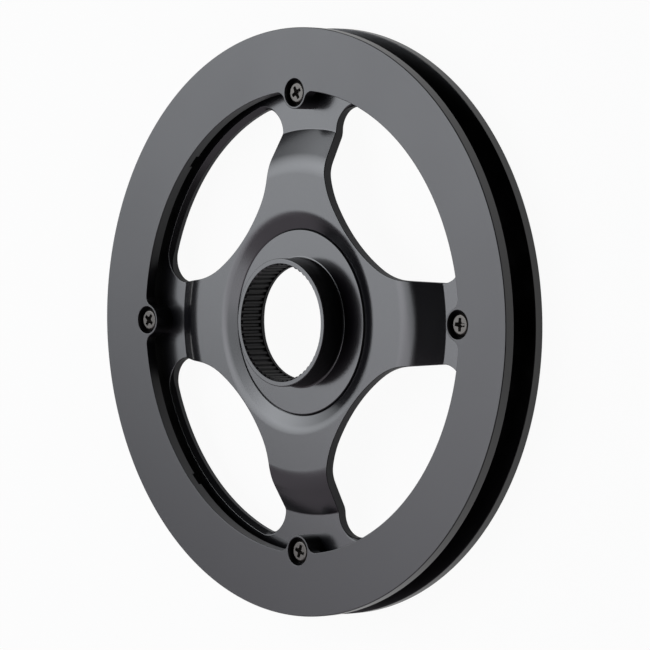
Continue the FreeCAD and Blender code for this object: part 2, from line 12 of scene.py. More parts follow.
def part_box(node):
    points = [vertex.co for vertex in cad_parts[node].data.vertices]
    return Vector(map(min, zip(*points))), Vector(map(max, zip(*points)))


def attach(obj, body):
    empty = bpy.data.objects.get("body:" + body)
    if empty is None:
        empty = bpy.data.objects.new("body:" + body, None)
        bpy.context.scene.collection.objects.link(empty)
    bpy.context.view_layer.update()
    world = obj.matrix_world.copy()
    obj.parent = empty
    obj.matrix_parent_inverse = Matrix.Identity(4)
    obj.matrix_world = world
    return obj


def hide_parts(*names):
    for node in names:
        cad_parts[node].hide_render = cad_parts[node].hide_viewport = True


# A black bicycle chainring between two chain guards, lying on its outer guard.
# The part's lengths are millimetres in its own frame until a mesh is made, which is in metres.
# The floor and the lights are given in metres.
# A point of a plan or of a half section is a complex number: x + iy, or radius + i height.

MM = 0.001

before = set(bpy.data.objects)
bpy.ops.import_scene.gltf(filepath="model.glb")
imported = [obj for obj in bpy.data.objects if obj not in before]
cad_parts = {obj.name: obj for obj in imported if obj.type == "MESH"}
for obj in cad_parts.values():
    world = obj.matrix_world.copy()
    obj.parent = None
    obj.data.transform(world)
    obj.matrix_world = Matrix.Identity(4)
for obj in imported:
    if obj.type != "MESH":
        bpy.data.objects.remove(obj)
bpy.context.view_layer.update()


def box_mm(node):
    low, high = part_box(node)
    return low / MM, high / MM


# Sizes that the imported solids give

plate_low, plate_high = box_mm("chainring")
hub_low, hub_high = box_mm("splined_hub")
inner_low, inner_high = box_mm("inner_guard")
outer_low, outer_high = box_mm("outer_guard")
screw_low, screw_high = box_mm("guard_screws")

RING_LOW = plate_low.z
RING_TOP = inner_low.z
ARM_TOP = plate_high.z
GUARD_RADIUS = inner_high.x
FLANGE_RADIUS = hub_high.x
BOSS_FRONT = hub_high.z
HUB_BACK = hub_low.z
SCREW_END = screw_low.z
HEAD_TOP = screw_high.z

# Plate sizes

ARMS = 4
TEETH = 38
CHAIN_PITCH = 12.7
PITCH_RADIUS = CHAIN_PITCH / (2 * math.sin(math.pi / TEETH))
SEAT_RADIUS = 3.97
TIP_HEIGHT = 3.3
TIP_RADIUS = PITCH_RADIUS + TIP_HEIGHT
FLANK_ANGLE = math.radians(17)
TIP_ROUND = 0.45
TOOTH_THICK = 2.0
TIP_THICK = 1.0
TIP_BEVEL = 2.6
ROOT_BEVEL = 0.8
TOOTH_BEND = 1.5
ROOT_BEND = 0.4
PLATE_THICK = RING_TOP - RING_LOW
RING_WIDTH = 11.3
RING_BORE = PITCH_RADIUS - RING_WIDTH
RING_EDGE = 1.4
CREASE_INSET = 9.0
OUTER_CREASE = RING_BORE - CREASE_INSET
SLOPE_RUN = 9.9
INNER_CREASE = OUTER_CREASE - SLOPE_RUN
INNER_BEND = 12.0
OUTER_BEND = 0.6
CROWN_RADIUS = 31.7
CROWN_BEND = 7.0
DISH_ANGLE = math.radians(22.5)
HUB_HOLE = 23.5
ARM_WAIST = 11.45
ARM_TAPER = math.radians(3.8)
ARM_FILLET = 7.0
WINDOW_FILLET = 24.0
WINDOW_APEX = 33.35
WINDOW_CURVE = 52.0

# Rolled edge of the dish, which draws the dark line round the hub's flange

SEAM_WIDTH = 0.55
SEAM_DEPTH = 0.15
SEAM_TUCK = 0.4
SEAM_ROLL = 1.0
SEAM_NOOK = 0.08
SEAM_END = 0.3

# Guard and screw sizes

GUARD_EDGE = 0.2
INNER_SETBACK = 2.0
INNER_BORE = RING_BORE + INNER_SETBACK
INNER_THICK = 3.2
INNER_TAB_FILLET = 3.0
OUTER_SETBACK = 6.9
OUTER_BORE = RING_BORE + OUTER_SETBACK
OUTER_THICK = 2.9
OUTER_TAB_FILLET = 4.0
NOTCH_WIDTH = 4.3
NOTCH_DEPTH = 0.9
NOTCH_REACH = 2.5
POCKET_WIDTH = 5.0
POCKET_LENGTH = 8.2
POCKET_INSET = 1.8
POCKET_DEPTH = 1.2
SCREW_SETBACK = 1.5
SCREW_CIRCLE = RING_BORE + SCREW_SETBACK
HEAD_RADIUS = screw_high.x - SCREW_CIRCLE
HEAD_HEIGHT = 2.1
HEAD_FLOOR = HEAD_TOP - HEAD_HEIGHT
HEAD_BEVEL = 0.8
HEAD_ROUND = 0.5
HEAD_MARGIN = 0.5
HEAD_FLAT = HEAD_RADIUS - HEAD_BEVEL - HEAD_MARGIN
SINK_ROOM = 0.6
SINK_RADIUS = HEAD_RADIUS + SINK_ROOM
SINK_WALL = 0.7
BOSS_RADIUS = SINK_RADIUS + SINK_WALL
SHANK_RADIUS = 1.9
SHANK_ROOM = 0.25
THREAD_ROOM = 0.03
SCREW_ROOM = 0.5
HOLE_FLOOR = SCREW_END - SCREW_ROOM
THREAD_PITCH = 1.4
THREAD_DEPTH = 0.42
CROSS_ARMS = 4
CROSS_SPAN = 3.9
CROSS_WIDTH = 1.2
CROSS_END = 1.05
CROSS_DEPTH = 1.2
CROSS_TAPER = 0.35
CROSS_LEAN = 0.5
CROSS_ROUND = 0.12
CROSS_NOOK = 0.4
CROSS_TURNS = (-4, 28, 53, -19)
THREAD_ROWS = 8
THREAD_SIDES = 40
THREAD_POINT = 0.5
POCKET_ROUND = 0.4
GUARD_STEPS = 360
GUARD_SOFT = 0.12
GUARD_BAND = 1.0

# Hub sizes

SPLINES = 55
SPLINE_MINOR = 16.8
SPLINE_DEPTH = 0.52
SPLINE_LAND = 0.62
SPLINE_MOUTH = 1.25
SPLINE_ROUND = 0.07
SPLINE_FLOOR = SPLINE_MINOR + SPLINE_DEPTH
BOSS_WALL = 1.39
BOSS_OUT = SPLINE_FLOOR + BOSS_WALL
BOSS_HEIGHT = 7.7
FLANGE_FACE = BOSS_FRONT - BOSS_HEIGHT
LIP_STEP = 0.2
LIP_RADIUS = SPLINE_MINOR - LIP_STEP
LIP_DROP = 0.9
LIP_END = FLANGE_FACE - LIP_DROP
LIP_HEIGHT = 1.0
LIP_TOP = LIP_END + LIP_HEIGHT
RELIEF_RADIUS = 21.6
HUB_ROOM = 0.03
HUB_FIT = HUB_HOLE - HUB_ROOM
STAKE_REACH = 1.3
STAKE_RADIUS = HUB_HOLE + STAKE_REACH
BOSS_ROOT = 0.7
BOSS_ROUND = 0.3
FLANGE_ROUND = 0.25
STAKE_ROUND = 0.35
SEAT_ROUND = 0.1

# Roundings of the edges and fineness of the meshes

RIM = 0.22
SOFT = 0.18
TURN_STEP = math.radians(6)
SMALL_RADIUS = 1.0
SMALL_STEP = math.radians(28)
RING_SPACING = 1.3
EDGE_MARGIN = 0.35
WELD = 1e-4
WELD_SHIFT = 0.37
MERGE_GAP = 1e-5
FILL_INSIDE = 1
STRAIGHT_TURN = 1e-6
LEVEL_RISE = 1e-12
RADIUS_DIGITS = 4
POINT_BATCH = 4000
EDGE_BATCH = 500
WINDOW_RING_STEPS = 40
WINDOW_SIDE_STEPS = 24
WINDOW_HUB_STEPS = 16
HUB_HOLE_STEPS = 180
SCREW_HOLE_STEPS = 40
SINK_STEPS = 48
TAB_TIP_STEPS = 20
TAB_FAR_STEPS = 30
BORE_STEPS = 60
NOTCH_STEPS = 6


class Spot(NamedTuple):
    """A point of an outline, the direction out of the solid there, and how far it has the wide bevel."""

    place: complex
    out: complex
    wide: float = 0.0


def arc(centre, radius, start, end, steps=None):
    """Spots along an arc: turning left the solid lies inside it, turning right outside it."""
    finest = TURN_STEP if radius > SMALL_RADIUS else SMALL_STEP
    steps = steps or max(2, math.ceil(abs(end - start) / finest))
    side = 1 if end > start else -1
    spots = []
    for step in range(steps + 1):
        ray = cmath.exp(1j * (start + (end - start) * step / steps))
        spots.append(Spot(centre + radius * ray, side * ray))
    return spots


def unit(vector):
    return vector / abs(vector)


def corner(before, place, after, radius):
    """Spots round one corner of an outline that runs with the solid on its left."""
    arrive = unit(place - before)
    leave = unit(after - place)
    turn = cmath.phase(leave / arrive)
    if radius == 0 or abs(turn) < STRAIGHT_TURN:
        return [Spot(place, -1j * arrive), Spot(place, -1j * leave)]
    side = 1 if turn > 0 else -1
    start = place - arrive * radius * math.tan(abs(turn) / 2)
    centre = start + 1j * side * arrive * radius
    first = cmath.phase(start - centre)
    return arc(centre, radius, first, first + turn)


def path(corners, closed=False):
    """Spots along straight edges through corners, each a place and a rounding."""
    places = [place for place, _ in corners]
    count = len(places)
    spots = []
    for i, (place, radius) in enumerate(corners):
        if closed or 0 < i < count - 1:
            spots += corner(places[i - 1], place, places[(i + 1) % count], radius)
        elif i == 0:
            spots.append(Spot(place, -1j * unit(places[1] - place)))
        else:
            spots.append(Spot(place, -1j * unit(place - places[i - 1])))
    return spots


def turned_about(spots, angle):
    ray = cmath.exp(1j * angle)
    return [Spot(s.place * ray, s.out * ray, s.wide) for s in spots]


def reversed_path(spots):
    """The same line as the edge of the other side."""
    return [Spot(s.place, -s.out, s.wide) for s in reversed(spots)]


def divided(spots, length, closed=True):
    """The same outline with more spots on its long straight edges."""
    full = []
    for spot, following in zip(spots, spots[1:] + spots[:1] if closed else spots[1:]):
        full.append(spot)
        gap = following.place - spot.place
        pieces = math.ceil(abs(gap) / length)
        for i in range(1, pieces):
            share = i / pieces
            out = unit(spot.out * (1 - share) + following.out * share)
            wide = spot.wide * (1 - share) + following.wide * share
            full.append(Spot(spot.place + gap * share, out, wide))
    return full if closed else full + spots[-1:]


def circle(centre, radius, steps):
    return arc(centre, radius, 0, 2 * math.pi, steps)[:-1]


# Meshes with a normal for each corner

def mixed(first, second, share):
    return first + (second - first) * share


def normalised(x, y, z):
    length = math.sqrt(x * x + y * y + z * z)
    return (x / length, y / length, z / length)


def lifted(place, z):
    return (place.real, place.imag, z)


class Shell:
    """Faces that share their corners wherever these lie in one place."""

    def __init__(self):
        self.places = {}
        self.points = []
        self.faces = []
        self.normals = []

    def index(self, point):
        key = tuple(math.floor(c / WELD + WELD_SHIFT) for c in point)
        if key not in self.places:
            self.places[key] = len(self.points)
            self.points.append(point)
        return self.places[key]

    def face(self, corners):
        """Adds a face that looks the way its corners' normals do."""
        found = {}
        for point, normal in corners:
            found.setdefault(self.index(point), normal)
        if len(found) < 3:
            return
        ids = list(found)
        points = [Vector(self.points[i]) for i in ids]
        facing = Vector()
        for point, following in zip(points, points[1:] + points[:1]):
            facing += (point - points[0]).cross(following - points[0])
        total = sum((Vector(n) for n in found.values()), Vector())
        if facing.dot(total) < 0:
            ids.reverse()
        self.faces.append(ids)
        self.normals += [found[i] for i in ids]

    def strip(self, rows, closed=True):
        """Quads between rows of corners of one length."""
        for low, high in zip(rows, rows[1:]):
            count = len(low)
            for i in range(count if closed else count - 1):
                j = (i + 1) % count
                self.face([low[i], low[j], high[j], high[i]])

    def wall(self, spots, heights, closed=True):
        """An upright wall along an outline."""
        rows = []
        for z in heights:
            rows.append([(lifted(s.place, z), (s.out.real, s.out.imag, 0)) for s in spots])
        self.strip(rows, closed)

    def turned(self, section, angles):
        """A half section swept round the part's axis."""
        rows = []
        for spot in section:
            row = []
            for angle in angles:
                x = math.cos(angle)
                y = math.sin(angle)
                point = (spot.place.real * x, spot.place.real * y, spot.place.imag)
                row.append((point, (spot.out.real * x, spot.out.real * y, spot.out.imag)))
            rows.append(row)
        self.strip(rows)

    def cap(self, loops, surface, guides=()):
        """Fills the area inside the first loop and outside the others."""
        places = []
        edges = []
        for line, closed in [(loop, True) for loop in loops] + [(guide, False) for guide in guides]:
            start = len(places)
            count = len(line)
            places += line
            edges += [(start + i, start + (i + 1) % count) for i in range(count if closed else count - 1)]
        flat = [Vector((p.real, p.imag)) for p in places]
        found, _, triangles, sources, _, _ = delaunay_2d_cdt(flat, edges, [], FILL_INSIDE, MERGE_GAP, True)
        exact = [places[s[0]] if s else complex(v.x, v.y) for v, s in zip(found, sources)]
        middles = [sum(exact[i] for i in t) / 3 for t in triangles]
        for triangle, keep in zip(triangles, in_area(middles, loops)):
            if keep:
                self.face([surface(exact[i]) for i in triangle])

    def level(self, loops, z, side):
        """A flat face at one height that looks up or down."""
        self.cap(loops, lambda place: (lifted(place, z), (0, 0, side)))

    def add(self, other, shift):
        for ids in other.faces:
            self.faces.append([self.index(tuple(a + b for a, b in zip(other.points[i], shift))) for i in ids])
        self.normals += other.normals

    def make(self, name, material, node):
        """The finished piece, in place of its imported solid."""
        mesh = bpy.data.meshes.new(name)
        mesh.from_pydata([[c * MM for c in point] for point in self.points], [], self.faces)
        mesh.polygons.foreach_set("use_smooth", [True] * len(self.faces))
        mesh.normals_split_custom_set(self.normals)
        mesh.materials.append(material)
        piece = bpy.data.objects.new(name, mesh)
        bpy.context.scene.collection.objects.link(piece)
        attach(piece, "root")
        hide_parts(node)
        return piece


def in_area(points, loops):
    """Which points lie inside an odd number of the loops."""
    points = np.array(points)
    inside = np.zeros(len(points), bool)
    for loop in loops:
        start = np.array(loop)
        end = np.roll(start, -1)
        rise = np.where(end.imag == start.imag, LEVEL_RISE, end.imag - start.imag)
        for first in range(0, len(points), POINT_BATCH):
            batch = slice(first, first + POINT_BATCH)
            part = points[batch, None]
            spans = (start.imag > part.imag) != (end.imag > part.imag)
            x = start.real + (part.imag - start.imag) * (end.real - start.real) / rise
            crossings = np.count_nonzero(spans & (part.real < x), axis=1)
            inside[batch] ^= crossings % 2 == 1
    return inside


# Rims: each row is a share of the rounding's quarter turn, and of the bevel's width and slope

RIM_ROWS = ((0, 0, 0), (0.25, 0.08, 0.5), (0.5, 0.5, 0.5), (0.75, 0.92, 0.5), (1, 1, 1))


def rim_width(spot):
    return mixed(RIM, RING_EDGE, spot.wide)


def inset(spots, width=None):
    return [s.place - s.out * (rim_width(s) if width is None else width) for s in spots]


def rim_rows(spots, surface, side, width=None):
    """Rows of corners from a face's inset edge round to the wall below it, or above it."""
    rows = []
    for turn, bevel, slope in RIM_ROWS:
        angle = turn * math.pi / 2
        row = []
        for spot, inner in zip(spots, inset(spots, width)):
            size = abs(inner - spot.place)
            point, normal = surface(inner)
            wide = spot.wide if width is None else 0
            along = mixed(math.sin(angle), bevel, wide)
            down = mixed(1 - math.cos(angle), bevel, wide)
            lean = mixed(turn, slope, wide) * math.pi / 2
            place = inner + spot.out * size * along
            flat = math.sin(lean)
            up = math.cos(lean)
            row.append((
                lifted(place, point[2] - side * size * down),
                normalised(
                    normal[0] * up + spot.out.real * flat,
                    normal[1] * up + spot.out.imag * flat,
                    normal[2] * up,
                ),
            ))
        rows.append(row)
    return rows


class Profile:
    """Height and slope over the radius, from a half section's line."""

    def __init__(self, spots, side):
        ordered = sorted(spots, key=lambda s: s.place.real)
        self.side = side
        self.radii = [s.place.real for s in ordered]
        self.heights = [s.place.imag for s in ordered]
        self.slopes = [-s.out.real / s.out.imag for s in ordered]

    def at(self, place):
        radius = abs(place)
        i = min(max(bisect_right(self.radii, radius), 1), len(self.radii) - 1)
        span = self.radii[i] - self.radii[i - 1]
        share = (radius - self.radii[i - 1]) / span if span else 0
        z = mixed(self.heights[i - 1], self.heights[i], share)
        slope = mixed(self.slopes[i - 1], self.slopes[i], min(max(share, 0), 1))
        ray = place / radius
        side = self.side
        return lifted(place, z), normalised(-side * slope * ray.real, -side * slope * ray.imag, side)


# Chainring: the pressed plate with teeth, arms and windows

def tucked_centre(start, along, inward, big_centre, big_radius, radius, outermost):
    """Centre of a fillet between a straight edge and the inside of a large circle."""
    base = start + inward * radius - big_centre
    middle = (base * along.conjugate()).real
    spread = math.sqrt(middle ** 2 - abs(base) ** 2 + (big_radius - radius) ** 2)
    return start + inward * radius + along * ((spread if outermost else -spread) - middle)


def window_outline():
    """A window's edge, with the X axis midway between two arms."""
    half_arm = math.pi / ARMS
    waist = cmath.exp(1j * half_arm) * (OUTER_CREASE - 1j * ARM_WAIST)
    along = cmath.exp(1j * (half_arm + ARM_TAPER))
    inward = -1j * along
    hub_centre = WINDOW_APEX + WINDOW_CURVE
    outer = tucked_centre(waist, along, inward, 0, RING_BORE, ARM_FILLET, True)
    nook = tucked_centre(waist, along, inward, hub_centre, WINDOW_CURVE, WINDOW_FILLET, False)
    edge = cmath.phase(-inward)
    ring_end = cmath.phase(outer)
    hub_start = cmath.phase(nook - hub_centre)
    ring = arc(0, RING_BORE, 0, ring_end, WINDOW_RING_STEPS)
    ring = [Spot(s.place, s.out, 1.0) for s in ring]
    bend = arc(outer, ARM_FILLET, ring_end, edge)
    bend = [Spot(s.place, s.out, max(0, 1 - 2 * i / len(bend))) for i, s in enumerate(bend)]
    side = arc(nook, WINDOW_FILLET, edge, hub_start, WINDOW_SIDE_STEPS)
    hub = arc(hub_centre, WINDOW_CURVE, hub_start, math.pi, WINDOW_HUB_STEPS)
    upper = ring + bend[1:] + side + hub[1:]
    lower = [Spot(s.place.conjugate(), s.out.conjugate(), s.wide) for s in reversed(upper[1:-1])]
    return reversed_path(divided(upper + lower, RING_SPACING))


def tooth_outline():
    """The ring's toothed edge."""
    touch = PITCH_RADIUS + SEAT_RADIUS * cmath.exp(1j * (math.pi / 2 + FLANK_ANGLE))
    flank = cmath.exp(1j * FLANK_ANGLE)
    along = (touch * flank.conjugate()).real
    reach = math.sqrt(along ** 2 - abs(touch) ** 2 + TIP_RADIUS ** 2) - along
    tip = touch + flank * reach
    step = cmath.exp(2j * math.pi / TEETH)
    seat = arc(PITCH_RADIUS, SEAT_RADIUS, 1.5 * math.pi - FLANK_ANGLE, math.pi / 2 + FLANK_ANGLE)
    rising = seat[-1:] + corner(touch, tip, tip.conjugate() * step, TIP_ROUND)
    rising = divided(rising, RING_SPACING, closed=False)
    falling = [Spot(s.place.conjugate() * step, s.out.conjugate() * step) for s in reversed(rising)]
    tooth = seat[:-1] + rising + falling[:-1]
    spots = []
    for index in range(TEETH):
        spots += turned_about(tooth, 2 * math.pi * index / TEETH)
    return spots


def dish_height(radius):
    """Height of the dish's upper face, which the hub's flange sits on."""
    return ARM_TOP - (CROWN_RADIUS - radius) * math.tan(DISH_ANGLE)


def plate_profiles():
    """The plate's upper and lower faces over the radius."""
    rise = math.atan((ARM_TOP - RING_TOP) / (OUTER_CREASE - INNER_CREASE))
    bend_shift = PLATE_THICK * math.tan(rise / 2)
    crown_shift = PLATE_THICK * math.tan(DISH_ANGLE / 2)
    hole_low = dish_height(HUB_HOLE) - PLATE_THICK / math.cos(DISH_ANGLE)
    middle = (RING_LOW + RING_TOP) / 2
    thin = SCREW_CIRCLE + BOSS_RADIUS
    tooth = TOOTH_THICK / 2
    tip = TIP_THICK / 2

    def dish(radius, depth=0):
        return complex(radius, dish_height(radius) - depth)

    top = [
        (complex(TIP_RADIUS, middle + tip), 0),
        (complex(TIP_RADIUS - TIP_BEVEL, middle + tooth), TOOTH_BEND),
        (complex(thin + ROOT_BEVEL, middle + tooth), ROOT_BEND),
        (complex(thin, RING_TOP), ROOT_BEND),
        (complex(OUTER_CREASE, RING_TOP), OUTER_BEND),
        (complex(INNER_CREASE, ARM_TOP), INNER_BEND),
        (complex(CROWN_RADIUS, ARM_TOP), CROWN_BEND),
        (dish(FLANGE_RADIUS + SEAM_WIDTH), SEAM_ROLL),
        (dish(FLANGE_RADIUS, SEAM_DEPTH), SEAM_NOOK),
        (dish(FLANGE_RADIUS - SEAM_TUCK), SEAM_END),
        (dish(HUB_HOLE), 0),
    ]
    bottom = [
        (complex(HUB_HOLE, hole_low), 0),
        (complex(CROWN_RADIUS + crown_shift, ARM_TOP - PLATE_THICK), SOFT),
        (complex(INNER_CREASE - bend_shift, ARM_TOP - PLATE_THICK), INNER_BEND - PLATE_THICK),
        (complex(OUTER_CREASE - bend_shift, RING_LOW), OUTER_BEND + PLATE_THICK),
        (complex(thin, RING_LOW), ROOT_BEND),
        (complex(thin + ROOT_BEVEL, middle - tooth), ROOT_BEND),
        (complex(TIP_RADIUS - TIP_BEVEL, middle - tooth), TOOTH_BEND),
        (complex(TIP_RADIUS, middle - tip), 0),
    ]
    return Profile(path(top), 1), Profile(path(bottom), -1)


def ring_guides(profile, loops):
    """Circles at a profile's bends, where they lie inside the face."""
    edge = np.array([p for loop in loops for p in loop])
    guides = []
    for radius in sorted(set(round(r, RADIUS_DIGITS) for r in profile.radii))[1:-1]:
        count = math.ceil(2 * math.pi * radius / RING_SPACING)
        ring = radius * np.exp(2j * np.pi * np.arange(count) / count)
        keep = in_area(ring, loops)
        nearest = np.full(count, np.inf)
        for first in range(0, len(edge), EDGE_BATCH):
            part = edge[None, first:first + EDGE_BATCH]
            nearest = np.minimum(nearest, np.abs(ring[:, None] - part).min(axis=1))
        keep &= nearest > EDGE_MARGIN
        run = []
        for i in range(count + 1):
            if keep[i % count]:
                run.append(complex(ring[i % count]))
                continue
            guides.append(run)
            run = []
        guides.append(run)
    return [g for g in guides if len(g) > 1]


def make_chainring(material):
    top, bottom = plate_profiles()
    teeth = tooth_outline()
    hole = reversed_path(circle(0, HUB_HOLE, HUB_HOLE_STEPS))
    windows = [turned_about(window_outline(), (i + 0.5) * 2 * math.pi / ARMS) for i in range(ARMS)]
    screws = []
    for i in range(ARMS):
        centre = SCREW_CIRCLE * cmath.exp(2j * math.pi * i / ARMS)
        screws.append(reversed_path(circle(centre, SHANK_RADIUS + SHANK_ROOM, SCREW_HOLE_STEPS)))
    shell = Shell()
    outlines = [teeth, hole] + windows + screws
    for profile in (top, bottom):
        width = None if profile is top else RIM
        loops = [inset(spots, width) for spots in outlines]
        shell.cap(loops, profile.at, ring_guides(profile, loops))
    for spots in outlines:
        upper = rim_rows(spots, top.at, 1)
        lower = rim_rows(spots, bottom.at, -1, RIM)
        shell.strip(upper + lower[::-1])
    return shell.make("chainring_plate", material, "chainring")


# Splined hub

def spline_outline():
    """The bore's grooved edge, with the solid outside it."""
    lean = (SPLINE_MOUTH - SPLINE_LAND) / 2
    step = cmath.exp(2j * math.pi / SPLINES)
    land = complex(SPLINE_FLOOR, SPLINE_LAND / 2)
    tip = complex(SPLINE_MINOR, SPLINE_LAND / 2 + lean)
    corners = []
    for index in range(SPLINES):
        ray = step ** index
        for place in (tip.conjugate(), land.conjugate(), land, tip):
            corners.append((place * ray, SPLINE_ROUND))
    return reversed_path(path(corners, closed=True))


def hub_section(mouth):
    """Half section of the hub, from the lip's top round its outside to the bore's mouth."""
    slope = math.tan(DISH_ANGLE)
    hole_low = dish_height(HUB_HOLE) - PLATE_THICK / math.cos(DISH_ANGLE)
    grip = hole_low - (HUB_HOLE - HUB_FIT) * slope
    stake_top = hole_low + (STAKE_RADIUS - HUB_HOLE) * slope
    return path([
        (complex(LIP_RADIUS, LIP_TOP), 0),
        (complex(LIP_RADIUS, LIP_END), SOFT),
        (complex(RELIEF_RADIUS, HUB_BACK), SOFT),
        (complex(STAKE_RADIUS, HUB_BACK), STAKE_ROUND),
        (complex(STAKE_RADIUS, stake_top), SEAT_ROUND),
        (complex(HUB_FIT, grip), SEAT_ROUND),
        (complex(HUB_FIT, dish_height(HUB_FIT)), SEAT_ROUND),
        (complex(FLANGE_RADIUS, dish_height(FLANGE_RADIUS)), SEAT_ROUND),
        (complex(FLANGE_RADIUS, FLANGE_FACE), FLANGE_ROUND),
        (complex(BOSS_OUT, FLANGE_FACE), BOSS_ROOT),
        (complex(BOSS_OUT, BOSS_FRONT), BOSS_ROUND),
        (complex(mouth, BOSS_FRONT), 0),
    ])


def make_hub(material):
    shell = Shell()
    outline = spline_outline()
    angles = [cmath.phase(s.place) for s in outline]
    widest = max(abs(s.place) for s in outline)
    shell.turned(hub_section(widest), angles)
    bevel = math.sqrt(0.5)
    front = []
    mouth = []
    step = []
    lip = []
    for spot in outline:
        ray = unit(spot.place)
        slant = (-ray.real * bevel, -ray.imag * bevel, bevel)
        depth = widest - abs(spot.place)
        front.append((lifted(ray * widest, BOSS_FRONT), slant))
        mouth.append((lifted(spot.place, BOSS_FRONT - depth), slant))
        step.append((lifted(spot.place, LIP_TOP), (0, 0, 1)))
        lip.append((lifted(ray * LIP_RADIUS, LIP_TOP), (0, 0, 1)))
    shell.strip([front, mouth])
    walls = [(s.out.real, s.out.imag, 0) for s in outline]
    shell.strip([
        [(point, wall) for (point, _), wall in zip(mouth, walls)],
        [(point, wall) for (point, _), wall in zip(step, walls)],
    ])
    shell.strip([step, lip])
    return shell.make("splined_hub_body", material, "splined_hub")


# Guards: flat rings on tabs and bosses at the screws

class Tab(NamedTuple):
    """One screw tab's edge, from the bore round the boss and back, and the boss's far side."""

    before: list
    tip: list
    after: list
    far: list


def tab_edge(bore, fillet):
    boss = SCREW_CIRCLE
    reach = BOSS_RADIUS + fillet
    x = (boss ** 2 + (bore - fillet) ** 2 - reach ** 2) / (2 * boss)
    centre = complex(x, math.sqrt((bore - fillet) ** 2 - x ** 2))
    boss_turn = cmath.phase(centre - boss)
    before = arc(centre, fillet, cmath.phase(centre), cmath.phase(boss - centre))
    tip = arc(boss, BOSS_RADIUS, boss_turn, 2 * math.pi - boss_turn, TAB_TIP_STEPS)
    after = [Spot(s.place.conjugate(), s.out.conjugate()) for s in reversed(before)]
    far = arc(boss, BOSS_RADIUS, -boss_turn, boss_turn, TAB_FAR_STEPS)
    return Tab(before, tip, after, far)


def bore_arcs(bore, tab, notched):
    """The bore's edge from one tab to the next, clockwise: one stretch, or three where a notch lies in it."""
    step = 2 * math.pi / ARMS
    end = cmath.phase(tab.before[0].place)
    if not notched:
        return [arc(0, bore, step - end, end, BORE_STEPS)]
    half = math.asin(NOTCH_WIDTH / 2 / bore)
    middle = step / 2
    return [
        arc(0, bore, step - end, middle + half, BORE_STEPS // 2),
        arc(0, bore, middle + half, middle - half, NOTCH_STEPS),
        arc(0, bore, middle - half, end, BORE_STEPS // 2),
    ]


def joined(*stretches):
    """One outline from stretches that meet end to end."""
    spots = []
    for stretch in stretches:
        spots += stretch if not spots else stretch[1:]
    return spots


def turned_each(spots):
    return [turned_about(spots, 2 * math.pi * i / ARMS) for i in range(ARMS)]


def places(spots):
    return [s.place for s in spots]


def wall_each(shell, spots, heights):
    """One stretch of wall at every arm."""
    for stretch in turned_each(spots):
        shell.wall(stretch, heights, closed=False)


def around(spots):
    """The whole edge from the stretch that belongs to one tab, clockwise."""
    whole = []
    for i in range(ARMS):
        whole += turned_about(spots, -2 * math.pi * i / ARMS)[:-1]
    return whole


